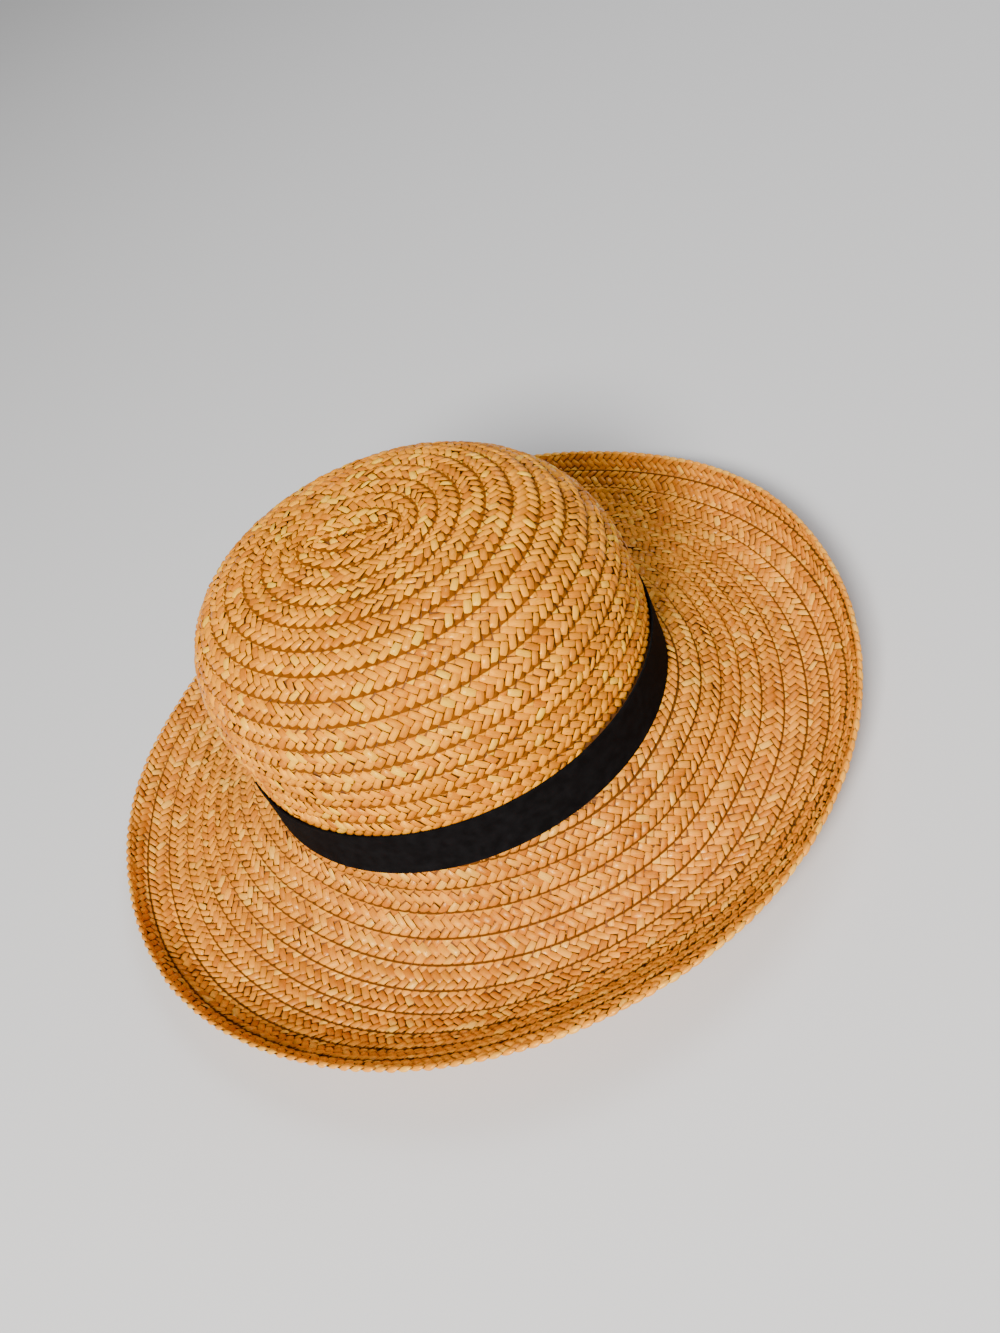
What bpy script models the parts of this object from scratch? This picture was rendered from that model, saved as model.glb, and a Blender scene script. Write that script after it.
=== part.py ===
"""A round-crowned straw hat sewn from braid, with an upturned brim and a plain ribbon band.

Metres, +Z up, front towards -Y. The hat stands on the lowest ring of its brim, at z = 0.
"""

import math

import bmesh
import bpy
from mathutils import Matrix, Vector

# Crown, with heights measured from the band's lower edge
HEAD_RADIUS = 0.0905  # outside of the straw at the head opening
CROWN_HEIGHT = 0.105
WALL_HEIGHT = 0.043  # upright part of the crown, below the dome
DOME_FULLNESS = 2.4  # how far out from the tip the dome stays high
DOME_SHOULDER = 3.4  # how square its shoulder is
CROWN_LEAN = (-0.008, -0.0055)  # the tip's place, seen from the middle of the opening

# Braid
STRAW = 0.0016  # wall of sewn braid
CROWN_ROW = 0.0101  # from one seam to the next on the crown
ROW_STEP = 0.0006  # a row's outer edge stands this far over the next row
SEAM = 0.0008  # width over which the surface steps down at a seam

# Brim
BRIM_WIDTH = 0.099  # along the straw, from the band to the rim
BRIM_ROWS = 10
BRIM_DROP = 0.032  # from the middle of the opening down to the surface that the hat stands on
TIP_BACK = math.radians(5)  # the hat stands tipped back, because the brim dips in front
REST_RING = 0.010  # width of the flat ring that it stands on
NECK = 0.003  # the brim's straw reaches this far up under the band

# Band
BAND_WIDTH = 0.0235
BAND_THICKNESS = 0.0012

GAP = 0.0003  # between neighbouring pieces
SEGMENTS = 60  # straight sides round the hat

# One row for each direction, in degrees from the wearer's left round the back. Four slopes in
# degrees, upwards positive, at the stations below, and the width as a share of BRIM_WIDTH.
BRIM_COLUMNS = ("direction", "neck", "flare", "roll", "rim", "width")
BRIM_TABLE = (
    (0, -19, -33, 12, 115, 1.06),
    (45, -12, -24, -4, 80, 1.06),
    (90, -14, -16, 7, 40, 1.04),
    (135, -13, -23, -1, 20, 0.92),
    (180, -38, -30, -10, 90, 0.95),
    (225, -85, -32, 11, 61, 1.00),
    (270, -70, -40, 29, 22, 1.06),
    (315, -12, -51, 20, 52, 1.03),
)
STATIONS = (0.0, 0.35, 0.7, 1.0)
BRIM_RUNS = 48  # short straight runs that a brim section is added up from

STRAW_COLOUR = (0.60, 0.30, 0.10)
RIBBON_COLOUR = (0.012, 0.012, 0.014)


def clear_scene():
    for thing in list(bpy.data.objects):
        bpy.data.objects.remove(thing, do_unlink=True)


def plain_material(name, colour, roughness):
    material = bpy.data.materials.new(name)
    material.use_nodes = True
    shader = material.node_tree.nodes["Principled BSDF"]
    shader.inputs["Base Color"].default_value = (*colour, 1.0)
    shader.inputs["Roughness"].default_value = roughness
    shader.inputs["Metallic"].default_value = 0.0
    return material


def add_object(name, shape, material, collection):
    mesh = bpy.data.meshes.new(name)
    bmesh.ops.recalc_face_normals(shape, faces=shape.faces)
    shape.to_mesh(mesh)
    shape.free()
    mesh.shade_smooth()
    mesh.set_sharp_from_angle(angle=math.radians(35))
    mesh.materials.append(material)
    thing = bpy.data.objects.new(name, mesh)
    collection.objects.link(thing)
    return thing


def standing(point):
    """Moves a point from the band's frame, level at its lower edge, to the standing hat."""
    tipped = Matrix.Rotation(-TIP_BACK, 3, "X") @ Vector(point)
    return tipped + Vector((0.0, 0.0, BRIM_DROP * math.cos(TIP_BACK)))


# Crown and band


def dome_radius(height):
    """Outside radius of the crown at a height over the band's lower edge."""
    if height <= WALL_HEIGHT:
        return HEAD_RADIUS
    share = min(1.0, (height - WALL_HEIGHT) / (CROWN_HEIGHT - WALL_HEIGHT))
    return HEAD_RADIUS * (1.0 - share**DOME_FULLNESS) ** (1.0 / DOME_SHOULDER)


class DomeOutline:
    """The crown's outline from its tip down to the neck, measured along the straw."""

    def __init__(self, runs=600):
        drop = CROWN_HEIGHT - NECK
        turns = [math.pi / 2 * i / runs for i in range(runs + 1)]
        heights = [CROWN_HEIGHT - drop * (1.0 - math.cos(turn)) for turn in turns]
        self.points = [Vector((dome_radius(z), 0.0, z)) for z in heights]
        self.lengths = [0.0]
        for before, after in zip(self.points, self.points[1:]):
            self.lengths.append(self.lengths[-1] + (after - before).length)

    def at(self, length, out):
        """The point this far down from the tip, moved outwards from the surface."""
        i = 1
        while i < len(self.points) - 1 and self.lengths[i] < length:
            i += 1
        before, after = self.points[i - 1], self.points[i]
        share = (length - self.lengths[i - 1]) / (self.lengths[i] - self.lengths[i - 1])
        along = (after - before).normalized()
        outwards = Vector((-along.z, 0.0, along.x))
        point = before.lerp(after, share) + out * outwards
        point.x = max(point.x, 0.0)
        return point


def turned(profile):
    """Spins a closed profile in the XZ plane into a closed body, leaning and standing."""
    shape = bmesh.new()
    verts = [shape.verts.new(point) for point in profile]
    edges = [shape.edges.new((a, b)) for a, b in zip(verts, verts[1:])]
    if profile[0].x > 0.0:
        edges.append(shape.edges.new((verts[-1], verts[0])))
    bmesh.ops.spin(
        shape,
        geom=verts + edges,
        cent=(0, 0, 0),
        axis=(0, 0, 1),
        angle=2 * math.pi,
        steps=SEGMENTS,
        use_merge=True,
    )
    bmesh.ops.remove_doubles(shape, verts=shape.verts, dist=1e-6)
    for vert in shape.verts:
        lean = (vert.co.z / CROWN_HEIGHT) ** 2
        vert.co += Vector((CROWN_LEAN[0] * lean, CROWN_LEAN[1] * lean, 0.0))
        vert.co = standing(vert.co)
    return shape


def make_crown(material, collection):
    outline = DomeOutline()
    total = outline.lengths[-1]
    profile = [Vector((0.0, 0.0, CROWN_HEIGHT))]
    seam = CROWN_ROW
    while seam < total - CROWN_ROW / 4:
        profile.append(outline.at(seam - SEAM / 2, ROW_STEP))
        profile.append(outline.at(seam + SEAM / 2, 0.0))
        seam += CROWN_ROW
    profile.append(outline.at(total, 0.0))
    inside = 14
    for i in range(inside + 1):
        profile.append(outline.at(total * (1 - i / inside), -STRAW))
    profile[-1].x = 0.0
    return add_object("crown", turned(profile), material, collection)


def make_band(material, collection):
    inner = HEAD_RADIUS + ROW_STEP + GAP
    outer = inner + BAND_THICKNESS
    profile = [
        Vector((inner, 0.0, GAP)),
        Vector((outer, 0.0, GAP)),
        Vector((outer, 0.0, BAND_WIDTH / 2)),
        Vector((outer, 0.0, BAND_WIDTH)),
        Vector((inner, 0.0, BAND_WIDTH)),
        Vector((inner, 0.0, BAND_WIDTH / 2)),
    ]
    return add_object("band", turned(profile), material, collection)


# Brim


def table_value(column, angle):
    """A column of the brim table at any direction, on a smooth closed curve through its rows."""
    k = BRIM_COLUMNS.index(column)
    count = len(BRIM_TABLE)
    place = math.degrees(angle) / 360.0 * count
    i = math.floor(place)
    t = place - i
    a, b, c, d = (BRIM_TABLE[(i + step) % count][k] for step in (-1, 0, 1, 2))
    bend = 2 * a - 5 * b + 4 * c - d
    return 0.5 * (2 * b + (c - a) * t + bend * t * t + (3 * b - a - 3 * c + d) * t**3)


def slope_at(share, slopes):
    """The slope between the stations, on the one cubic that passes through all four."""
    total = 0.0
    for i, slope in enumerate(slopes):
        weight = 1.0
        for j, station in enumerate(STATIONS):
            if j != i:
                weight *= (share - station) / (STATIONS[i] - station)
        total += slope * weight
    return total


class BrimSection:
    """The brim's outline in one direction, as radius and height from the band's lower edge."""

    def __init__(self, angle):
        self.angle = angle
        self.width = BRIM_WIDTH * table_value("width", angle)
        slopes = [table_value(name, angle) for name in ("neck", "flare", "roll", "rim")]
        run = self.width / BRIM_RUNS
        self.points = [Vector((HEAD_RADIUS, 0.0, 0.0))]
        for i in range(BRIM_RUNS):
            slope = math.radians(slope_at((i + 0.5) / BRIM_RUNS, slopes))
            step = Vector((math.cos(slope), 0.0, math.sin(slope))) * run
            self.points.append(self.points[-1] + step)
        self.fit_to_floor()

    def floor(self, radius):
        return radius * math.sin(self.angle) * math.tan(TIP_BACK) - BRIM_DROP

    def at(self, length, up):
        """The point this far out from the band along the straw, moved up from the surface."""
        place = min(max(length / self.width, 0.0), 1.0) * BRIM_RUNS
        i = min(int(place), BRIM_RUNS - 1)
        before, after = self.points[i], self.points[i + 1]
        along = (after - before).normalized()
        return before.lerp(after, place - i) + up * Vector((-along.z, 0.0, along.x))

    def clearance(self, length):
        under = self.at(length, -STRAW)
        return under.z - self.floor(under.x)

    def lowest(self):
        lengths = [self.width * i / BRIM_RUNS for i in range(BRIM_RUNS + 1)]
        return min(lengths, key=self.clearance)

    def fit_to_floor(self):
        """Deepens or flattens the section a little, so that its underside just meets the floor."""
        for _ in range(12):
            length = self.lowest()
            depth = self.at(length, 0.0).z
            factor = 1.0 + self.clearance(length) / -depth
            for point in self.points:
                point.z *= factor
        self.low = min(max(self.lowest(), REST_RING), self.width - 1.5 * REST_RING)

    def skin(self):
        """The closed outline: up over the stepped rows to the rim, and back along the underside."""
        row = self.width / BRIM_ROWS
        outline = [
            Vector((HEAD_RADIUS - STRAW, 0.0, NECK - GAP)),
            Vector((HEAD_RADIUS, 0.0, NECK - GAP)),
            self.at(0.0, 0.0),
        ]
        for seam in range(1, BRIM_ROWS):
            outline.append(self.at(row * seam - SEAM / 2, ROW_STEP))
            outline.append(self.at(row * seam + SEAM / 2, 0.0))
        outline.append(self.at(self.width, 0.0))
        inner_edge = self.low - REST_RING / 2
        outer_edge = self.low + REST_RING / 2
        rest = self.width - outer_edge
        for share in (1.0, 0.75, 0.5, 0.25):
            outline.append(self.at(outer_edge + rest * share, -STRAW))
        for length in (outer_edge, inner_edge):
            point = self.at(length, -STRAW)
            outline.append(Vector((point.x, 0.0, self.floor(point.x))))
        for share in (0.75, 0.5, 0.25, 0.0):
            outline.append(self.at(inner_edge * share, -STRAW))
        return outline


def make_brim(material, collection):
    shape = bmesh.new()
    rings = []
    for i in range(SEGMENTS):
        angle = 2 * math.pi * i / SEGMENTS
        turn = Matrix.Rotation(angle, 3, "Z")
        outline = BrimSection(angle).skin()
        rings.append([shape.verts.new(standing(turn @ point)) for point in outline])
    for ring, after in zip(rings, rings[1:] + rings[:1]):
        for i in range(len(ring)):
            j = (i + 1) % len(ring)
            shape.faces.new((ring[i], ring[j], after[j], after[i]))
    return add_object("brim", shape, material, collection)


def centre_on_origin(pieces):
    """Puts the middle of the whole hat's box over the origin, standing on z = 0."""
    places = [vert.co for piece in pieces for vert in piece.data.vertices]
    middle_x = (min(p.x for p in places) + max(p.x for p in places)) / 2
    middle_y = (min(p.y for p in places) + max(p.y for p in places)) / 2
    move = Matrix.Translation((-middle_x, -middle_y, 0.0))
    for piece in pieces:
        piece.data.transform(move)


def main():
    clear_scene()
    collection = bpy.data.collections.new("straw_hat")
    bpy.context.scene.collection.children.link(collection)
    straw_crown = plain_material("straw_crown", STRAW_COLOUR, 0.45)
    straw_brim = plain_material("straw_brim", STRAW_COLOUR, 0.5)
    ribbon = plain_material("ribbon", RIBBON_COLOUR, 0.7)
    crown = make_crown(straw_crown, collection)
    brim = make_brim(straw_brim, collection)
    band = make_band(ribbon, collection)
    centre_on_origin((crown, brim, band))


main()
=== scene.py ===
"""A straw hat sewn from braid, with a round crown, an upturned brim and a plain black ribbon.

Metres, +Z up, the wearer's front towards -Y, standing on the floor by its brim.
"""

import math

import bmesh
import bpy
import numpy as np
from mathutils import Matrix, Vector


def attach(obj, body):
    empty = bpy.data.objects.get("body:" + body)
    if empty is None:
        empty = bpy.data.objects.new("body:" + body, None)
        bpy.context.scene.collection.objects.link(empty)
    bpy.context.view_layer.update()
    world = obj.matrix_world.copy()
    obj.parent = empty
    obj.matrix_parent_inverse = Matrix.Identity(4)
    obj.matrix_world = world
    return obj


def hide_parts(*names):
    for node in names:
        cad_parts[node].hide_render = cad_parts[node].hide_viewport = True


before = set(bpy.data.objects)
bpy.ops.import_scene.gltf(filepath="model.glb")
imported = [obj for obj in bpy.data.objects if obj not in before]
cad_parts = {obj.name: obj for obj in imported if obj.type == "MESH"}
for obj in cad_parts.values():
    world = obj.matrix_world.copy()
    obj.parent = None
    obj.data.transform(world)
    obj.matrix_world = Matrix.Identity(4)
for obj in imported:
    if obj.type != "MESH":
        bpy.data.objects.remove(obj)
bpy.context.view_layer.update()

# Crown
# One long flat braid of straw splints, wound from the folded start at the tip and sewn to itself
# row over row like shingles. The head goes in from below, so its inside shows the same weave.
FULL_TURN = 2 * math.pi
HEAD_RADIUS = 0.0905  # outside of the straw at the head opening
CROWN_HEIGHT = 0.105
WALL_HEIGHT = 0.043  # upright part of the crown, below the dome
DOME_FULLNESS = 2.4  # how far out from the tip the dome stays high
DOME_SHOULDER = 3.4  # how square its shoulder is
CROWN_LEAN = (-0.008, -0.0055)  # the tip's place, seen from the middle of the opening
NECK = 0.003  # the brim's straw reaches this far up under the band
BRIM_DROP = 0.032  # from the middle of the opening down to the floor
TIP_BACK = math.radians(5)  # the hat stands tipped back, because the brim dips in front
STRAW = 0.0016
BAND_WIDTH = 0.0235
DIRECTIONS = 360  # in which the crown and the brim are worked out
DOME_POINTS = 900
CROWN_STEPS = 260
FOOT_LEVEL = 2e-5  # corners of the crown's lowest ring lie level within this
SHARP_CORNER = math.radians(40)

# Rows of braid
SPLINT = 0.0029
CELL = SPLINT * math.sqrt(2)  # along the braid from one splint to the next
COLUMNS = (0.5 * CELL, 1.5 * CELL, 2.5 * CELL)  # from a row's edge to each line of crossings
BRAID_WIDTH = 3 * CELL + 0.0004
STAGGER = CELL / 4  # neighbouring lines of crossings are shifted this far, to each side
ROW_MIDDLE = 0.005  # half way across a row, where splints are spaced
LEAST_REACH = 0.003  # nearer the tip than this they are spaced as they are here
LEAST_ROW = 0.001  # where less of a row would show, the braid has ended
NARROWEST_ROW = 0.004
CROWN_ROW = 0.0101
CROWN_FIRST = 0.0088  # the first turn's edge, this far from the tip where the turn is counted
CROWN_TURN = math.radians(240)  # direction in which turns are counted
BRAID_START = 0.75  # the braid begins this part of a turn before the count
LINING_START = 0.25
FOLD_GAP = 0.0002  # the folded start stays open by a thin slit on each side of its middle
FOLD_SINK = -0.0006  # what would cross the slit goes down into it
FOLD_OVER = 0.0016
FOLD_HALF = 0.013  # the braid starts folded straight, so the first rows are long ovals
FOLD_FADE = 0.055
FOLD_TURN = math.radians(-19)
ROW_STEP = 0.0008  # a row's edge stands this far over the next row
ROW_BULGE = 0.00035
BULGE_START = 0.05
BULGE_SPREAD = 1.1
EDGE_TURN = 0.00025  # the very edge of a row is pressed down by its stitching
EDGE_REACH = 0.0009
SEAM_GROOVE = 0.0002  # a row dips this much just before it goes under the next
SEAM_SLOPE = 0.0010
# the painted shade where a row goes under the next, and beside the fold's slit, starts this far
# off
SEAM_LINE = 0.0007
FOLD_LINE = 0.0007
CROWN_LINE = 0.0002  # the shadow along a row's proud edge
UNDER_BAND = 0.002  # the rows go on this far under the ribbon
BAND_PRESS = 0.75
PRESS_START = 0.006
PRESS_RUN = 0.004
LINING_CLEAR = 0.001
LINING_OVER = 0.0022  # the rows inside end behind the brim's neck

# One splint
SPLINT_TOP = 0.00037  # its middle stands this far over the skin
SIDE_DROP = 0.00014
END_DROP = 0.00046
TUCK = -0.00045  # its ends and sides go down to here
OUTERMOST = 0.98
END_TAPER = 0.22
END_CROWDING = 0.75  # powers under 1 crowd the grid's lines towards ends and sides
SIDE_CROWDING = 0.7
SPLINT_REACH = 0.93
EDGE_BREADTH = 0.95  # where the splint turns over at the row's edge
FLAT_BREADTH = 1.02
ANGLE_SPREAD = 0.11
SIZE_SPREAD = 0.05
HEIGHT_SPREAD = 0.00006
TILT_SPREAD = 0.0002
UNDER_LIFT = -0.0009  # the weave's back lies this far under the skin
UNDER_ROWS = 0.35  # rows and splints stand out less on the back
UNDER_SPLINTS = 0.6
GRAIN_FIELD = 40  # each splint has its fibres from somewhere in a field this wide
BAKE_HALF = 0.44  # half of a splint's cell in the bake map, inside a margin

seat = np.array([vert.co[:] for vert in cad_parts["crown"].data.vertices])
upright = np.array((0.0, math.sin(TIP_BACK), math.cos(TIP_BACK)))
heights = seat @ upright
foot = seat[heights < heights.min() + FOOT_LEVEL].mean(axis=0) - NECK * upright
tip_back = np.array(Matrix.Rotation(-TIP_BACK, 3, "X"))


def standing(points):
    """From the band's frame, level at its lower edge, to the hat on the floor."""
    return points @ tip_back.T + foot


class Skin:
    """A smooth skin of straw. A place on it is a distance along the straw and a direction."""

    def __init__(self, radius, height, lengths, shape):
        """The arrays hold one row for each direction, evenly stepped all round."""
        self.lengths = lengths
        count = len(radius)
        turn = FULL_TURN * np.arange(count)[:, None] / count
        out = np.stack([np.cos(turn), np.sin(turn), 0 * turn], axis=-1)
        up = np.array((0.0, 0.0, 1.0))
        self.points = standing(shape(radius, height, turn))
        rise = np.gradient(height, axis=1)
        run = np.gradient(radius, axis=1)
        size = np.hypot(rise, run)
        normals = out * (-rise / size)[..., None] + up * (run / size)[..., None]
        self.normals = normals @ tip_back.T

    def at(self, length, turn, lift):
        """Points this far along the straw, in this direction, lifted off the skin."""
        count, steps = self.points.shape[:2]
        place = np.mod(turn / FULL_TURN, 1.0) * count
        i = np.floor(place).astype(int) % count
        k = (i + 1) % count
        across = (place - np.floor(place))[..., None]
        total = self.lengths[i] * (1 - across[..., 0]) + self.lengths[k] * across[..., 0]
        step = np.clip(length / total, 0.0, 1.0) * (steps - 1)
        j = np.minimum(step.astype(int), steps - 2)
        along = (step - j)[..., None]
        beyond = (length / total - np.clip(length / total, 0.0, 1.0)) * (steps - 1)
        along = along + beyond[..., None]
        found = []
        for grid in (self.points, self.normals):
            near = grid[i, j] * (1 - along) + grid[i, j + 1] * along
            far = grid[k, j] * (1 - along) + grid[k, j + 1] * along
            found.append(near * (1 - across) + far * across)
        return found[0] + found[1] * lift[..., None]

    def pace(self, length, turn):
        """Metres along a row for one radian of turn."""
        small = 0.02
        still = np.zeros_like(turn)
        ahead = self.at(length, turn + small, still)
        behind = self.at(length, turn - small, still)
        return np.linalg.norm(ahead - behind, axis=-1) / (2 * small)


def dome_radius(height):
    share = np.clip((height - WALL_HEIGHT) / (CROWN_HEIGHT - WALL_HEIGHT), 0.0, 1.0)
    return HEAD_RADIUS * (1.0 - share**DOME_FULLNESS) ** (1.0 / DOME_SHOULDER)


def crown_shape(radius, height, turn):
    """Pulls the first rows into ovals about the fold, and leans the crown."""
    x = radius * np.cos(turn)
    y = radius * np.sin(turn)
    pull = FOLD_HALF * np.clip(1 - crown_run / FOLD_FADE, 0.0, 1.0) ** 2
    x = x + pull * np.cos(turn - FOLD_TURN) * math.cos(FOLD_TURN)
    y = y + pull * np.cos(turn - FOLD_TURN) * math.sin(FOLD_TURN)
    top = np.interp(np.hypot(x, y), dome_out, dome_height)
    z = np.where(pull > 0, top, height)
    lean = (z / CROWN_HEIGHT) ** 2
    return np.stack([x + CROWN_LEAN[0] * lean, y + CROWN_LEAN[1] * lean, z], axis=-1)


quarter = np.linspace(0.0, math.pi / 2, DOME_POINTS)
dome_height = CROWN_HEIGHT - (CROWN_HEIGHT - NECK) * (1 - np.cos(quarter))
dome_out = dome_radius(dome_height)
dome_steps = np.hypot(np.diff(dome_out), np.diff(dome_height))
dome_length = np.concatenate([[0.0], np.cumsum(dome_steps)])
crown_run = np.linspace(0.0, dome_length[-1], CROWN_STEPS)[None, :]
crown_skin = Skin(
    np.repeat(np.interp(crown_run, dome_length, dome_out), DIRECTIONS, axis=0),
    np.repeat(np.interp(crown_run, dome_length, dome_height), DIRECTIONS, axis=0),
    np.full(DIRECTIONS, dome_length[-1]),
    crown_shape,
)


def flat_grid(along, across):
    """A flat grid from -1 to 1 both ways: its points' two places, and its faces."""
    shape = bmesh.new()
    bmesh.ops.create_grid(shape, x_segments=along, y_segments=across, size=1.0)
    shape.verts.ensure_lookup_table()
    places = np.array([vert.co[:] for vert in shape.verts])
    faces = np.array([[vert.index for vert in face.verts] for face in shape.faces])
    shape.free()
    return places[:, 0], places[:, 1], faces


def splint_blank(along, across):
    """One visible stretch of splint, flat on top, with its ends and sides tucked under."""
    a, b, faces = flat_grid(along, across)
    a = np.sign(a) * np.abs(a) ** END_CROWDING
    b = np.sign(b) * np.abs(b) ** SIDE_CROWDING
    border = (np.abs(a) > OUTERMOST) | (np.abs(b) > OUTERMOST)
    top = SPLINT_TOP - SIDE_DROP * b * b - END_DROP * a * a
    b = b * (1 - END_TAPER * a**4)
    return a, b, np.where(border, TUCK, top), faces


def splint_piece(name, points, a, b, faces, painted_shade, chance, least=0.0):
    """Many like splints as one piece, each with its own tint, gloss and stretch of grain."""
    count, corners = points.shape[:2]
    loops = (faces[None] + (np.arange(count) * corners)[:, None, None]).reshape(-1, 4)
    mesh = bpy.data.meshes.new(name)
    mesh.from_pydata(points.reshape(-1, 3).tolist(), [], loops.tolist())
    mesh.shade_smooth()
    for label in ("tint", "gloss"):
        value = least + (1 - least) * chance.random(count)
        layer = mesh.attributes.new(label, "FLOAT", "FACE")
        layer.data.foreach_set("value", np.repeat(value, len(faces)).astype(np.float32))
    # painted shade along seams, beside the fold's slit and at the loops' ends
    layer = mesh.attributes.new("painted_shade", "FLOAT", "POINT")
    layer.data.foreach_set("value", painted_shade.astype(np.float32).ravel())
    flat = np.stack([a, b], axis=-1)[faces]
    start = chance.random((count, 1, 1, 2)) * GRAIN_FIELD
    grain = mesh.uv_layers.new(name="Splint")
    grain.data.foreach_set("uv", (flat[None] + start).astype(np.float32).ravel())
    side_cells = math.ceil(math.sqrt(count))
    cell = np.stack(np.divmod(np.arange(count), side_cells), axis=-1)
    spread = (cell[:, None, None, :] + 0.5 + flat[None] * BAKE_HALF) / side_cells
    sheet = mesh.uv_layers.new(name="OFBake")
    sheet.data.foreach_set("uv", spread.astype(np.float32).ravel())
    piece = bpy.data.objects.new(name, mesh)
    bpy.context.scene.collection.objects.link(piece)
    return piece


def row_relief(depth, width):
    """Height of a braid row over the skin, from its proud edge in to where it goes under."""
    share = np.clip(depth / width, 0.0, 1.0)
    hump = np.clip(share * BULGE_SPREAD + BULGE_START, 0.0, 1.0)
    bulge = ROW_BULGE * np.sin(math.pi * hump)
    pressed = EDGE_TURN * np.exp(-((depth / EDGE_REACH) ** 2))
    groove = SEAM_GROOVE * np.clip((depth - width) / SEAM_SLOPE + 1.0, 0.0, 1.0)
    return ROW_STEP * (1 - share) + bulge - pressed - groove


def rows_of(skin, edge, first, last):
    """Directions of the splints along the spiral, stepped by the braid's own pitch."""
    turns = []
    turn = first
    while turn < last:
        turns.append(turn)
        middle = max(edge(turn) - ROW_MIDDLE, LEAST_REACH)
        turn += CELL / float(skin.pace(np.array(middle), np.array(turn)))
    return np.array(turns)


def lay_splints(name, skin, edge, turns, side, blank, keep, seed, cut, line, ease):
    """Lays a splint at every crossing of the braid, on the skin's face (1) or its back (-1).

    edge, keep, line and ease are functions: a row's edge, what is kept, the width of the shadow
    along the edge, and how much of the rows' height is left. No splint reaches past cut.
    """
    chance = np.random.default_rng(seed)
    a, b, top, faces = blank
    turn = np.repeat(turns, len(COLUMNS))
    column = np.tile(np.arange(len(COLUMNS)), len(turns))
    inset = np.array(COLUMNS)[column]
    lean = np.where(column % 2 == 0, 1.0, -1.0)
    pace = skin.pace(np.maximum(edge(turn) - ROW_MIDDLE, LEAST_REACH), turn)
    turn = turn + STAGGER * lean / pace
    kept = keep(edge(turn) - inset if side > 0 else edge(turn) - BRAID_WIDTH + inset, turn)
    turn, inset, lean, pace = turn[kept], inset[kept], lean[kept], pace[kept]
    count = len(turn)
    angle = lean * (math.pi / 4) + chance.normal(0.0, ANGLE_SPREAD, count)
    long = SPLINT * (SPLINT_REACH + chance.normal(0.0, SIZE_SPREAD, count))
    breadth = np.where(inset < CELL, EDGE_BREADTH, FLAT_BREADTH)
    wide = SPLINT / 2 * (breadth + chance.normal(0.0, SIZE_SPREAD, count))
    raised = chance.normal(0.0, HEIGHT_SPREAD, count)
    tilt = chance.normal(0.0, TILT_SPREAD, (2, count))
    ahead = a * long[:, None]
    aside = b * wide[:, None]
    along = ahead * np.cos(angle)[:, None] - aside * np.sin(angle)[:, None]
    inwards = ahead * np.sin(angle)[:, None] + aside * np.cos(angle)[:, None]
    where = turn[:, None] + along / pace[:, None]
    depth = np.maximum(inset[:, None] + inwards, cut)
    uneven = top + raised[:, None] + tilt[0][:, None] * a + tilt[1][:, None] * b
    if side > 0:
        length = edge(where) - depth
        width = np.clip(edge(where) - edge(where - FULL_TURN), NARROWEST_ROW, BRAID_WIDTH)
        lift = row_relief(depth, width) * ease(length, where) + uneven
        lift = np.where(length < FOLD_GAP, FOLD_SINK, lift)
    else:
        length = edge(where) - BRAID_WIDTH + depth
        spare = edge(where + FULL_TURN) - edge(where)
        width = np.where(spare < LEAST_ROW, BRAID_WIDTH, np.maximum(spare, NARROWEST_ROW))
        lift = UNDER_LIFT - UNDER_ROWS * row_relief(depth, width) - UNDER_SPLINTS * uneven
    points = skin.at(np.maximum(length, FOLD_GAP), where, lift)
    # Painted shade: where a row goes under the next, beside the fold's slit, and along a row's
    # proud edge
    reach = np.maximum(depth - width + SEAM_LINE - cut, FOLD_LINE - length)
    reach = np.maximum(reach, cut + line(length) - depth)
    return splint_piece(name, points, a, b, faces, reach * 1000, chance)


def crown_edge(turn):
    return CROWN_FIRST + CROWN_ROW * (turn - CROWN_TURN) / FULL_TURN


def crown_end(length):
    """The turn in which the row that lies this far from the tip is complete."""
    return CROWN_TURN + (length - CROWN_FIRST + CROWN_ROW) / CROWN_ROW * FULL_TURN


outer_blank = splint_blank(5, 4)
inner_blank = splint_blank(4, 2)
covered = np.interp(UNDER_BAND - BAND_WIDTH, -dome_height, dome_length)


def on_crown(length, turn):
    return (length > -FOLD_OVER) & (length < covered)


def in_crown(length, turn):
    return (length > LINING_CLEAR) & (length < dome_length[-1] + LINING_OVER)


def ease_at_band(length, turn):
    """The ribbon presses the rows flat where they go under it."""
    return 1 - BAND_PRESS * np.clip((length - covered + PRESS_START) / PRESS_RUN, 0.0, 1.0)


def crown_line(length):
    return np.full_like(length, CROWN_LINE)


braid_start = CROWN_TURN - BRAID_START * FULL_TURN
crown_braid = lay_splints(
    "crown_braid",
    crown_skin,
    crown_edge,
    rows_of(crown_skin, crown_edge, braid_start, crown_end(covered)),
    side=1,
    blank=outer_blank,
    keep=on_crown,
    seed=11,
    cut=-0.0005,
    line=crown_line,
    ease=ease_at_band,
)
lining_start = CROWN_TURN - LINING_START * FULL_TURN
crown_inside = lay_splints(
    "crown_inside",
    crown_skin,
    crown_edge,
    rows_of(crown_skin, crown_edge, lining_start, crown_end(dome_length[-1] + NECK)),
    side=-1,
    blank=inner_blank,
    keep=in_crown,
    seed=12,
    cut=0.0,
    line=crown_line,
    ease=ease_at_band,
)


def ranged(tree, value, given, wanted=(0.0, 1.0)):
    """A value taken from a given range to a wanted one."""
    node = tree.nodes.new("ShaderNodeMapRange")
    node.inputs["From Min"].default_value = given[0]
    node.inputs["From Max"].default_value = given[1]
    node.inputs["To Min"].default_value = wanted[0]
    node.inputs["To Max"].default_value = wanted[1]
    tree.links.new(value, node.inputs["Value"])
    return node.outputs["Result"]


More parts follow.
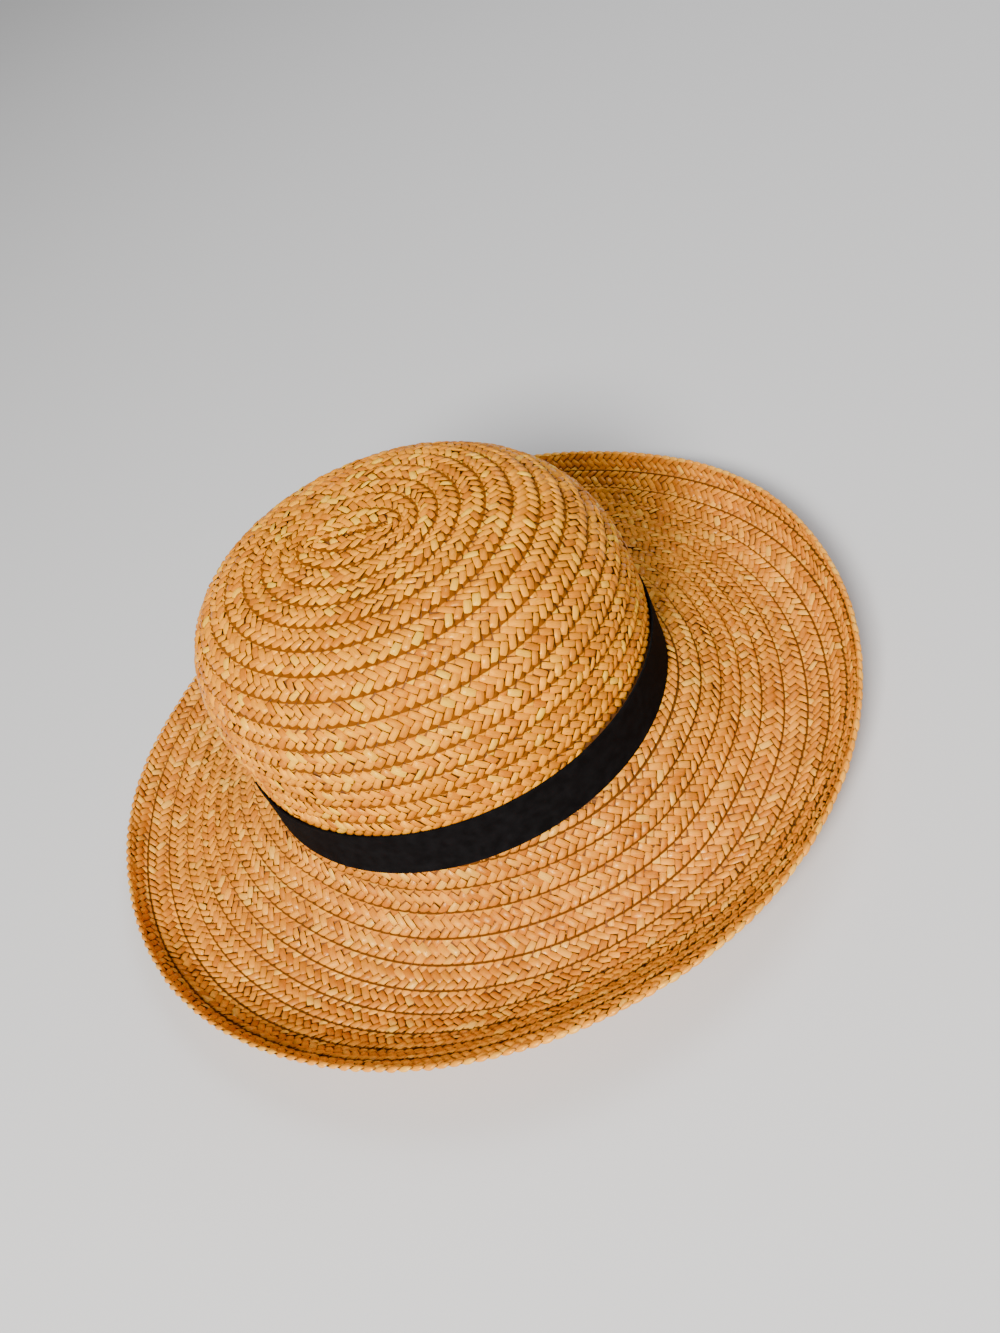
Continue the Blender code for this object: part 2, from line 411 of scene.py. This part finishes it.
def mixed(tree, share, first, second):
    """A colour between two others."""
    node = tree.nodes.new("ShaderNodeMix")
    node.data_type = "RGBA"
    tree.links.new(share, node.inputs["Factor"])
    tree.links.new(first, node.inputs["A"])
    tree.links.new(second, node.inputs["B"])
    return node.outputs["Result"]


def worked_out(tree, operation, first, second, clamp=False):
    """Two values put through one sum."""
    node = tree.nodes.new("ShaderNodeMath")
    node.operation = operation
    node.use_clamp = clamp
    tree.links.new(first, node.inputs[0])
    tree.links.new(second, node.inputs[1])
    return node.outputs["Value"]


def cloud(tree, scale, detail, place=None):
    """Soft noise, over the whole piece unless a place is given."""
    node = tree.nodes.new("ShaderNodeTexNoise")
    node.inputs["Scale"].default_value = scale
    node.inputs["Detail"].default_value = detail
    place = place or tree.nodes.new("ShaderNodeTexCoord").outputs["Object"]
    tree.links.new(place, node.inputs["Vector"])
    return node.outputs["Fac"]


def splint_value(tree, name):
    """A number that each splint carries."""
    node = tree.nodes.new("ShaderNodeAttribute")
    node.attribute_name = name
    return node.outputs["Fac"]


def straw_group():
    """Colour, gloss and fibres of a split straw, from each splint's own numbers, with painted
    shade mixed in along seams and painted glints among the palest splints.
    """
    group = bpy.data.node_groups.new("straw_splint", "ShaderNodeTree")
    # The fourth colour is painted shade, mixed in along seams, beside the fold's slit and at the
    # loops' ends
    for way, label, kind in (
        ("INPUT", "Deep", "NodeSocketColor"),
        ("INPUT", "Straw", "NodeSocketColor"),
        ("INPUT", "Pale", "NodeSocketColor"),
        ("INPUT", "Seam", "NodeSocketColor"),
        ("INPUT", "Fibre", "NodeSocketFloat"),
        ("OUTPUT", "Colour", "NodeSocketColor"),
        ("OUTPUT", "Roughness", "NodeSocketFloat"),
        ("OUTPUT", "Coat", "NodeSocketFloat"),
        ("OUTPUT", "Normal", "NodeSocketVector"),
    ):
        group.interface.new_socket(label, in_out=way, socket_type=kind)
    nodes, links = group.nodes, group.links
    given = nodes.new("NodeGroupInput").outputs
    result = nodes.new("NodeGroupOutput").inputs
    tint = splint_value(group, "tint")
    gloss = splint_value(group, "gloss")
    place = nodes.new("ShaderNodeUVMap")
    place.uv_map = "Splint"
    stretch = nodes.new("ShaderNodeMapping")
    stretch.inputs["Scale"].default_value = (0.35, 9.0, 1.0)
    links.new(place.outputs["UV"], stretch.inputs["Vector"])
    fibre = cloud(group, 2.2, 3.0, stretch.outputs["Vector"])

    straw = mixed(group, ranged(group, tint, (0.0, 0.75)), given["Deep"], given["Straw"])
    # The palest splints are paler straw and also painted glints
    pale = mixed(group, ranged(group, tint, (0.86, 1.0)), straw, given["Pale"])
    streak = ranged(group, fibre, (0.35, 0.7), (0.70, 1.15))
    patch = ranged(group, cloud(group, 55.0, 3.0), (0.3, 0.7), (0.88, 1.1))
    worn = nodes.new("ShaderNodeVectorMath")
    worn.operation = "SCALE"
    links.new(pale, worn.inputs[0])
    links.new(worked_out(group, "MULTIPLY", streak, patch), worn.inputs["Scale"])
    # Painted shade: its number counts millimetres past the start of the painted shadow where a row
    # goes under the next, along a row's proud edge and beside the fold's slit; on the rim's loops
    # it grows towards their ends
    shaded = ranged(group, splint_value(group, "painted_shade"), (-0.1, 0.2))
    colour = mixed(group, shaded, worn.outputs["Vector"], given["Seam"])
    links.new(colour, result["Colour"])

    rough = ranged(group, gloss, (0.0, 1.0), (0.60, 0.26))
    links.new(worked_out(group, "MAXIMUM", rough, shaded), result["Roughness"])
    coat = ranged(group, gloss, (0.6, 1.0), (0.0, 0.24))
    links.new(worked_out(group, "SUBTRACT", coat, shaded, clamp=True), result["Coat"])
    bump = nodes.new("ShaderNodeBump")
    bump.inputs["Distance"].default_value = 0.0002
    links.new(given["Fibre"], bump.inputs["Strength"])
    links.new(fibre, bump.inputs["Height"])
    links.new(bump.outputs["Normal"], result["Normal"])
    return group


splint_effect = straw_group()


def straw_material(name, deep, straw, pale, painted_shade, gold):
    """Glossy split straw, which reflects light in a golden colour."""
    material = bpy.data.materials.new(name)
    material.use_nodes = True
    nodes, links = material.node_tree.nodes, material.node_tree.links
    shader = nodes["Principled BSDF"]
    shader.inputs["Coat Roughness"].default_value = 0.26
    shader.inputs["Specular IOR Level"].default_value = 0.8
    shader.inputs["Specular Tint"].default_value = (*gold, 1.0)
    effect = nodes.new("ShaderNodeGroup")
    effect.node_tree = splint_effect
    effect.inputs["Deep"].default_value = (*deep, 1.0)
    effect.inputs["Straw"].default_value = (*straw, 1.0)
    effect.inputs["Pale"].default_value = (*pale, 1.0)
    effect.inputs["Seam"].default_value = (*painted_shade, 1.0)
    effect.inputs["Fibre"].default_value = 0.5
    links.new(effect.outputs["Colour"], shader.inputs["Base Color"])
    links.new(effect.outputs["Roughness"], shader.inputs["Roughness"])
    links.new(effect.outputs["Coat"], shader.inputs["Coat Weight"])
    links.new(effect.outputs["Normal"], shader.inputs["Normal"])
    return material


crown_straw = straw_material(
    "crown_straw",
    deep=(0.60, 0.165, 0.001),
    straw=(0.96, 0.355, 0.001),
    # paler straw, also standing for painted glints
    pale=(1.0, 0.54, 0.02),
    # painted shade in the crown's seams and beside the fold's slit
    painted_shade=(0.17, 0.042, 0.002),
    gold=(1.0, 0.60, 0.06),
)
crown_braid.data.materials.append(crown_straw)
crown_inside.data.materials.append(crown_straw)


def ramped(tree, value, stops):
    """A colour that runs between two stops, each a place and a colour."""
    node = tree.nodes.new("ShaderNodeValToRGB")
    for element, (place, colour) in zip(node.color_ramp.elements, stops):
        element.position = place
        element.color = (*colour, 1.0)
    tree.links.new(value, node.inputs["Fac"])
    return node.outputs["Color"]


# The straw down between the splints, which light hardly reaches
straw_shadow = bpy.data.materials.new("straw_shadow")
straw_shadow.use_nodes = True
tree = straw_shadow.node_tree
shader = tree.nodes["Principled BSDF"]
shader.inputs["Roughness"].default_value = 0.8
shade = ramped(
    tree,
    cloud(tree, 900.0, 2.0),
    ((0.0, (0.09, 0.025, 0.002)), (1.0, (0.26, 0.085, 0.009))),
)
tree.links.new(shade, shader.inputs["Base Color"])


def finished(shape, name, material):
    """Turns a shape into a smooth piece with sharp corners kept."""
    mesh = bpy.data.meshes.new(name)
    bmesh.ops.recalc_face_normals(shape, faces=shape.faces)
    shape.to_mesh(mesh)
    shape.free()
    mesh.shade_smooth()
    mesh.set_sharp_from_angle(angle=SHARP_CORNER)
    mesh.materials.append(material)
    piece = bpy.data.objects.new(name, mesh)
    bpy.context.scene.collection.objects.link(piece)
    return piece


def spun(profile, steps):
    """Spins a profile of radii and heights all the way round, in the band's frame."""
    shape = bmesh.new()
    verts = [shape.verts.new((radius, 0.0, height)) for radius, height in profile]
    edges = [shape.edges.new(pair) for pair in zip(verts, verts[1:])]
    bmesh.ops.spin(
        shape,
        geom=verts + edges,
        cent=(0, 0, 0),
        axis=(0, 0, 1),
        angle=FULL_TURN,
        steps=steps,
        use_merge=True,
    )
    bmesh.ops.remove_doubles(shape, verts=shape.verts, dist=1e-6)
    return shape


def lean_and_stand(shape):
    """Leans a shape with the crown and stands it on the floor."""
    for vert in shape.verts:
        lean = (vert.co.z / CROWN_HEIGHT) ** 2
        vert.co.x += CROWN_LEAN[0] * lean
        vert.co.y += CROWN_LEAN[1] * lean
        vert.co = Vector(standing(np.array(vert.co)))


CORE_TOP = -0.0007  # a thin wall of shadowed straw lies this far under the skin
CORE_UNDER = -0.0008
CORE_RINGS = 70
CORE_SIDES = 120
outside = [(0.0, CROWN_HEIGHT + CORE_TOP)]
inside = [(0.0, CROWN_HEIGHT + CORE_UNDER)]
for length in np.linspace(0.0, dome_length[-1], CORE_RINGS)[1:]:
    i = min(int(np.searchsorted(dome_length, length)), len(dome_length) - 1)
    run = dome_out[i] - dome_out[i - 1]
    rise = dome_height[i] - dome_height[i - 1]
    size = math.hypot(run, rise)
    radius = float(np.interp(length, dome_length, dome_out))
    height = float(np.interp(length, dome_length, dome_height))
    for wall, lift in ((outside, CORE_TOP), (inside, CORE_UNDER)):
        wall.append((radius - lift * rise / size, height + lift * run / size))
shape = spun(outside + inside[::-1], CORE_SIDES)
lean_and_stand(shape)
crown_core = finished(shape, "crown_core", straw_shadow)
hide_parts("crown")
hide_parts("crown")
for piece in (crown_core, crown_braid, crown_inside):
    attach(piece, "root")

# Brim
# The same braid runs on from the crown, drops away from the head and turns up at the rim. It dips
# in front, curls highest on the wearer's left, and its last row ends at the back on the right.
BRIM_WIDTH = 0.099  # along the straw, from the band to the rim
BRIM_COLUMNS = ("direction", "neck", "flare", "roll", "rim", "width")
BRIM_TABLE = (  # directions and slopes in degrees, and the width as a share of BRIM_WIDTH
    (0, -19, -33, 12, 115, 1.06),
    (45, -12, -24, -4, 80, 1.06),
    (90, -14, -16, 7, 40, 1.04),
    (135, -13, -23, -1, 20, 0.92),
    (180, -38, -30, -10, 90, 0.95),
    (225, -85, -32, 11, 61, 1.00),
    (270, -70, -40, 29, 22, 1.06),
    (315, -12, -51, 20, 52, 1.03),
)
STATIONS = (0.0, 0.35, 0.7, 1.0)  # where along the width the four slopes hold
BRIM_RUNS = 96
SETTLING = 12  # rounds in which the brim comes down to the floor in every direction
BRIM_ROW = 0.0098
ROWS_TO_RIM = 8  # from the second row on
ROW_TURN = math.radians(165)  # direction in which the brim's rows are counted
ROW_STARTS = (  # degrees on from there, and how far from the band the second row's edge lies
    (0, 0.0138),
    (15, 0.0130),
    (45, 0.0146),
    (75, 0.0203),
    (105, 0.0241),
    (135, 0.0270),
    (165, 0.0268),
    (195, 0.0240),
    (225, 0.0234),
    (285, 0.0231),
    (330, 0.0232),
    (360, 0.0236),
)
BRIM_TURNS = 10.9  # more than the braid needs, since nothing is kept past its end
INNER_TURNS = 6.3  # the turns after these are the outer piece
BAND_CLEAR = 0.0003
ROW_UNDER = 0.003  # splints further under the next row than this are left out
UNDER_CLEAR = 0.001
BRIM_RELIEF = 0.85
RIM_PRESS = 0.65
RIM_START = 0.006
RIM_RUN = 0.005
LINE_AT_BAND = 0.0006  # the shadow along a row's edge, widest where the brim drops away
LINE_LOSS = 0.0004
LINE_FROM = 0.015
LINE_RUN = 0.04


def table_value(column, turn):
    """A column of the brim table in any direction, on a smooth closed curve through its rows."""
    values = np.array([row[BRIM_COLUMNS.index(column)] for row in BRIM_TABLE], float)
    count = len(values)
    place = turn / FULL_TURN * count
    i = np.floor(place).astype(int)
    t = place - i
    a, b, c, d = (values[(i + step) % count] for step in (-1, 0, 1, 2))
    bend = 2 * a - 5 * b + 4 * c - d
    return 0.5 * (2 * b + (c - a) * t + bend * t * t + (3 * b - a - 3 * c + d) * t**3)


def rim_at(turn):
    """How far the rim lies from the band, along the straw."""
    return BRIM_WIDTH * table_value("width", turn)


def brim_grid():
    """Radius and height of every brim section, added up along its slopes."""
    turn = FULL_TURN * np.arange(DIRECTIONS) / DIRECTIONS
    width = rim_at(turn)
    share = (np.arange(BRIM_RUNS) + 0.5) / BRIM_RUNS
    slope = np.zeros((DIRECTIONS, BRIM_RUNS))
    for i, name in enumerate(("neck", "flare", "roll", "rim")):
        weight = np.ones(BRIM_RUNS)
        for j, station in enumerate(STATIONS):
            if j != i:
                weight = weight * (share - station) / (STATIONS[i] - station)
        slope += np.radians(table_value(name, turn))[:, None] * weight
    step = (width / BRIM_RUNS)[:, None]
    radius = np.zeros((DIRECTIONS, BRIM_RUNS + 1))
    height = np.zeros((DIRECTIONS, BRIM_RUNS + 1))
    radius[:, 1:] = np.cumsum(np.cos(slope) * step, axis=1)
    height[:, 1:] = np.cumsum(np.sin(slope) * step, axis=1)
    radius += HEAD_RADIUS
    rows = np.arange(DIRECTIONS)
    for _ in range(SETTLING):
        rise = np.gradient(height, axis=1)
        run = np.gradient(radius, axis=1)
        size = np.hypot(rise, run)
        under_out = radius + STRAW * rise / size
        under = height - STRAW * run / size
        clear = under - (under_out * np.sin(turn)[:, None] * math.tan(TIP_BACK) - BRIM_DROP)
        lowest = clear.argmin(axis=1)
        factor = 1 + clear[rows, lowest] / -height[rows, lowest]
        height *= factor[:, None]
    return radius, height, width


def level_shape(radius, height, turn):
    return np.stack([radius * np.cos(turn), radius * np.sin(turn), height + 0 * turn], axis=-1)


brim_radius, brim_height, brim_widths = brim_grid()
brim_skin = Skin(brim_radius, brim_height, brim_widths, level_shape)


def brim_edge(turn):
    """How far from the band the braid's outer edge lies, counted on along the whole spiral."""
    on = np.asarray(turn, float) - ROW_TURN
    rounds = np.floor(on / FULL_TURN)
    rest = np.degrees(on - rounds * FULL_TURN)
    starts = np.array(ROW_STARTS)
    start = np.interp(rest, starts[:, 0], starts[:, 1])
    rim = rim_at(np.mod(turn, FULL_TURN))
    row = np.maximum(BRIM_ROW, (rim - start) / ROWS_TO_RIM)
    return np.minimum(start + row * (rounds - 2), rim)


def on_brim(length, turn):
    before = brim_edge(turn - FULL_TURN)
    shows = (length > BAND_CLEAR) & (length > before - ROW_UNDER)
    return shows & (before < rim_at(turn) - LEAST_ROW)


def under_brim(length, turn):
    before = brim_edge(turn - FULL_TURN)
    shows = (length > UNDER_CLEAR) & (length < rim_at(turn) - UNDER_CLEAR)
    return shows & (before < rim_at(turn) - LEAST_ROW)


def ease_at_rim(length, turn):
    """The rim is one row thick, so its straw is thinner than where rows lie on each other."""
    near_rim = np.clip((length - rim_at(turn) + RIM_START) / RIM_RUN, 0.0, 1.0)
    return BRIM_RELIEF - RIM_PRESS * near_rim


def brim_line(length):
    return LINE_AT_BAND - LINE_LOSS * np.clip((length - LINE_FROM) / LINE_RUN, 0.0, 1.0)


brim_straw = straw_material(
    "brim_straw",
    deep=(0.60, 0.17, 0.006),
    straw=(0.88, 0.32, 0.012),
    # paler straw, also standing for painted glints
    pale=(0.97, 0.48, 0.05),
    # painted shade in the brim's seams and at the loops' ends
    painted_shade=(0.11, 0.027, 0.002),
    gold=(1.0, 0.70, 0.24),
)
brim_turns = rows_of(brim_skin, brim_edge, ROW_TURN, ROW_TURN + BRIM_TURNS * FULL_TURN)
half_way = ROW_TURN + INNER_TURNS * FULL_TURN
for name, turns, side, blank, keep, seed in (
    ("brim_inner_rows", brim_turns[brim_turns < half_way], 1, outer_blank, on_brim, 21),
    ("brim_outer_rows", brim_turns[brim_turns >= half_way], 1, outer_blank, on_brim, 22),
    ("brim_underside", brim_turns, -1, inner_blank, under_brim, 23),
):
    piece = lay_splints(
        name,
        brim_skin,
        brim_edge,
        turns,
        side=side,
        blank=blank,
        keep=keep,
        seed=seed,
        cut=0.0005,
        line=brim_line,
        ease=ease_at_rim,
    )
    piece.data.materials.append(brim_straw)
    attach(piece, "root")

CORE_DIRECTIONS = 180
CORE_STEPS = 40
CORE_SHORT = 0.0006  # the shadowed straw ends this far inside the rim
shape = bmesh.new()
rings = []
for turn in FULL_TURN * np.arange(CORE_DIRECTIONS) / CORE_DIRECTIONS:
    length = np.linspace(0.0, float(rim_at(turn)) - CORE_SHORT, CORE_STEPS)
    turns = np.full(CORE_STEPS, turn)
    around = np.array((math.cos(turn), math.sin(turn), 0.0))
    neck = NECK * np.array((0.0, 0.0, 1.0)) + HEAD_RADIUS * around
    section = [
        [standing(neck + CORE_TOP * around)],
        brim_skin.at(length, turns, np.full(CORE_STEPS, CORE_TOP)),
        brim_skin.at(length[::-1], turns, np.full(CORE_STEPS, CORE_UNDER)),
        [standing(neck + CORE_UNDER * around)],
    ]
    verts = [shape.verts.new(point) for point in np.concatenate(section)]
    rings.append([shape.edges.new(pair) for pair in zip(verts, verts[1:] + verts[:1])])
for ring, after in zip(rings, rings[1:] + rings[:1]):
    bmesh.ops.bridge_loops(shape, edges=ring + after)
brim_core = finished(shape, "brim_core", straw_shadow)
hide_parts("brim")
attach(brim_core, "root")

# Rim
# At the braid's free edge each splint turns over and goes back into the weave, which leaves a
# row of slanting loops like a thin rope all round the brim.
LOOP_PITCH = 0.0050
LOOP_LENGTH = 0.0050
LOOP_SLANT = 0.0010
LOOP_OUT = 0.0005  # one end of each loop stands out over the next
LOOP_IN = 0.0003  # the loops bend round a line this far inside the rim and under the skin
LOOP_BEND = math.radians(115)  # to each side of straight out
LOOP_THICK = 0.0011
LOOP_SPREAD = 0.08
LOOP_TAPER = 0.8
LEAST_TINT = 0.78  # the loops are of the palest and glossiest straw; their paleness is partly a painted highlight on the rim's lit tips
LOOP_SHADE = 6.0  # how fast a loop's ends darken with painted shade where they turn into the weave, and from where on
LOOP_LIT = 5.2

a, b, faces = flat_grid(6, 6)
rim_turns = []
turn = 0.0
while turn < FULL_TURN:
    rim_turns.append(turn)
    rim = np.array(rim_at(np.array(turn)))
    turn += LOOP_PITCH / float(brim_skin.pace(rim, np.array(turn)))
rim_turns = np.array(rim_turns) * (FULL_TURN / turn)
chance = np.random.default_rng(31)
count = len(rim_turns)
pace = brim_skin.pace(rim_at(rim_turns), rim_turns)
along = a * LOOP_LENGTH / 2 + b * LOOP_SLANT
where = rim_turns[:, None] + along / pace[:, None]
size = 1 - LOOP_TAPER * np.abs(a) ** 3
thick = (LOOP_THICK * (1 + chance.normal(0, LOOP_SPREAD, count)))[:, None] * size
bend = b * LOOP_BEND
out = rim_at(where) - LOOP_IN + LOOP_OUT * a + thick * np.cos(bend)
lift = thick * np.sin(bend) - LOOP_IN
points = brim_skin.at(out, where, lift)
# painted shade at each loop's ends, none in its middle
shade = np.tile(LOOP_SHADE * np.abs(a) - LOOP_LIT, count)
rim_edge = splint_piece("rim_edge", points, a, b, faces, shade, chance, LEAST_TINT)
rim_edge.data.materials.append(brim_straw)
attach(rim_edge, "root")

# Ribbon
# A plain black grosgrain ribbon, drawn tight round the foot of the crown. Its fine ribs run across
# it, its woven edges are a little thicker, and its end laps over its start at the back.
RIBBON_INSIDE = HEAD_RADIUS + 0.0013
RIBBON_THICK = 0.0006
RIBBON_LOW = 0.0003  # clear of the brim
RIBBON_EDGE = 0.0011
EDGE_ROUND = 0.0003
EDGE_FOOT = 0.0002
EDGE_RISE = 0.00004  # the woven edges stand out this far, and their middle twice as far
RIB = 0.0001  # how far each rib stands out
RIBS = 620
LAP_FROM = math.radians(104)
LAP_LENGTH = 0.016
LAP_STEPS = 35

ribbon_black = bpy.data.materials.new("ribbon_black")
ribbon_black.use_nodes = True
tree = ribbon_black.node_tree
shader = tree.nodes["Principled BSDF"]
shader.inputs["Specular IOR Level"].default_value = 0.04
dust = cloud(tree, 240.0, 4.0)
shade = ramped(tree, dust, ((0.35, (0.003, 0.003, 0.0035)), (0.75, (0.007, 0.007, 0.008))))
tree.links.new(shade, shader.inputs["Base Color"])
worn = ranged(tree, dust, (0.0, 1.0), (0.75, 0.95))
tree.links.new(worn, shader.inputs["Roughness"])


def ribbon_profile(inner):
    """The ribbon's section, closed, as radii and heights in the band's frame."""
    outer = inner + RIBBON_THICK
    low, high = RIBBON_LOW, BAND_WIDTH
    return [
        (inner, low),
        (outer + EDGE_RISE, low),
        (outer + 2 * EDGE_RISE, low + EDGE_ROUND),
        (outer + EDGE_RISE, low + RIBBON_EDGE),
        (outer, low + RIBBON_EDGE + EDGE_FOOT),
        (outer, BAND_WIDTH / 2),
        (outer, high - RIBBON_EDGE - EDGE_FOOT),
        (outer + EDGE_RISE, high - RIBBON_EDGE),
        (outer + 2 * EDGE_RISE, high - EDGE_ROUND),
        (outer + EDGE_RISE, high),
        (inner, high),
        (inner, low),
    ]


shape = spun(ribbon_profile(RIBBON_INSIDE), RIBS * 2)
for vert in shape.verts:
    out = math.hypot(vert.co.x, vert.co.y)
    rib = round(math.atan2(vert.co.y, vert.co.x) / math.pi * RIBS) % 2
    if out > RIBBON_INSIDE + RIBBON_THICK / 2 and rib:
        grown = (out + RIB) / out
        vert.co.x *= grown
        vert.co.y *= grown
lean_and_stand(shape)
ribbon = finished(shape, "ribbon", ribbon_black)
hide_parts("band")
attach(ribbon, "root")

shape = bmesh.new()
section = ribbon_profile(RIBBON_INSIDE + RIBBON_THICK)[:-1]
end = shape.faces.new([shape.verts.new((out, 0.0, height)) for out, height in section])
bmesh.ops.rotate(
    shape, verts=shape.verts, cent=(0, 0, 0), matrix=Matrix.Rotation(LAP_FROM, 3, "Z")
)
bmesh.ops.spin(
    shape,
    geom=[end],
    cent=(0, 0, 0),
    axis=(0, 0, 1),
    angle=LAP_LENGTH / HEAD_RADIUS,
    steps=LAP_STEPS,
    use_merge=False,
)
lean_and_stand(shape)
ribbon_lap = finished(shape, "ribbon_lap", ribbon_black)
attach(ribbon_lap, "root")

# Floor, light and camera
# The hat stands on a plain pale floor. One soft lamp is in front at the picture's left, a weaker
# one above the back at its right. The camera has the photograph's angle to the hat.
FLOOR_HALF = 6.0
LAMP_AIM = Vector((0, 0, 0.05))
VIEW_UP = math.radians(39.39)
VIEW_ROLL = math.radians(25.27)
VIEW_BACK = 0.5912
VIEW_SHIFT = (-0.01665, -0.01559)  # of the band's middle from the picture's, right and up
PICTURE_HEIGHT = 36
FOCAL = 1350 / 1333 * PICTURE_HEIGHT

shape = bmesh.new()
bmesh.ops.create_grid(shape, x_segments=1, y_segments=1, size=FLOOR_HALF)
floor_mesh = bpy.data.meshes.new("floor")
shape.to_mesh(floor_mesh)
shape.free()
floor = bpy.data.objects.new("floor", floor_mesh)
bpy.context.scene.collection.objects.link(floor)
pale_floor = bpy.data.materials.new("pale_floor")
pale_floor.use_nodes = True
shader = pale_floor.node_tree.nodes["Principled BSDF"]
shader.inputs["Base Color"].default_value = (0.62, 0.63, 0.65, 1.0)
shader.inputs["Roughness"].default_value = 0.7
floor_mesh.materials.append(pale_floor)

studio = bpy.data.worlds.new("studio")
studio.use_nodes = True
sky = studio.node_tree.nodes["Background"]
sky.inputs["Color"].default_value = (1.0, 0.99, 0.97, 1.0)
sky.inputs["Strength"].default_value = 0.2
bpy.context.scene.world = studio

for name, place, size, power, colour in (
    ("window", (-0.55, -1.25, 1.2), 0.5, 70.0, (1.0, 0.96, 0.90)),
    ("ceiling", (0.8, 0.6, 1.5), 1.0, 15.0, (0.98, 0.98, 1.0)),
):
    lamp = bpy.data.lights.new(name, "AREA")
    lamp.shape = "SQUARE"
    lamp.size = size
    lamp.energy = power
    lamp.color = colour
    light = bpy.data.objects.new(name, lamp)
    light.location = place
    light.rotation_mode = "QUATERNION"
    light.rotation_quaternion = (LAMP_AIM - Vector(place)).to_track_quat("-Z", "Y")
    bpy.context.scene.collection.objects.link(light)

forward = np.array((0.0, math.cos(VIEW_UP), -math.sin(VIEW_UP)))
level = np.array((1.0, 0.0, 0.0))
over = np.cross(level, forward)
right = level * math.cos(VIEW_ROLL) - over * math.sin(VIEW_ROLL)
above = level * math.sin(VIEW_ROLL) + over * math.cos(VIEW_ROLL)
spot = standing(-(VIEW_SHIFT[0] * right + VIEW_SHIFT[1] * above + VIEW_BACK * forward))
camera = bpy.data.cameras.new("camera")
camera.sensor_fit = "AUTO"
camera.sensor_width = PICTURE_HEIGHT
camera.lens = FOCAL
camera.clip_start = 0.01
camera.clip_end = 50
eye = bpy.data.objects.new("camera", camera)
facing = Matrix(tip_back.tolist()) @ Matrix(np.stack([right, above, -forward], axis=1).tolist())
eye.matrix_world = Matrix.Translation(spot) @ facing.to_4x4()
bpy.context.scene.collection.objects.link(eye)
bpy.context.scene.camera = eye
